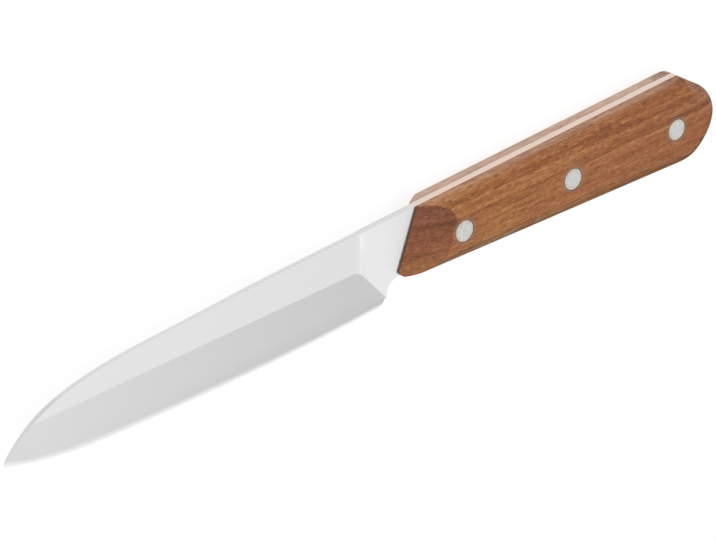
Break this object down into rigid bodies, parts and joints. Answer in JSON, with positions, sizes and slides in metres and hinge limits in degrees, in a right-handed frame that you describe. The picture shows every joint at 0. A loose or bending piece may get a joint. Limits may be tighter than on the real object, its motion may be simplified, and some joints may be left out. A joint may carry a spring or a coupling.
{
  "type": "paring knife",
  "caption": "Slim pointed kitchen knife: flat-ground blade, full tang and two riveted wooden scales with slanted fronts, for peeling and trimming.",
  "frame": {"origin": "under the middle of the outline's length and width, on the plane the knife lies on (the flat of the right scale)", "axes": "the knife lies on its right side: +X runs from the tip to the butt, +Y from the cutting edge to the spine, +Z out of the left side"},
  "size_m": [0.2201, 0.0264, 0.015],
  "materials": {
    "blade_steel": "fine satin grind along the flats and bevels, brighter cutting edge",
    "scale_wood": "oiled reddish-brown hardwood, grain along the handle, satin",
    "rivet_metal": "satin, polished flush with the wood"
  },
  "bodies": {
    "root": {"blade": "blade_steel", "left_scale": "scale_wood", "right_scale": "scale_wood", "rivet_tubes": "rivet_metal", "rivet_studs": "rivet_metal"}
  },
  "joints": []
}
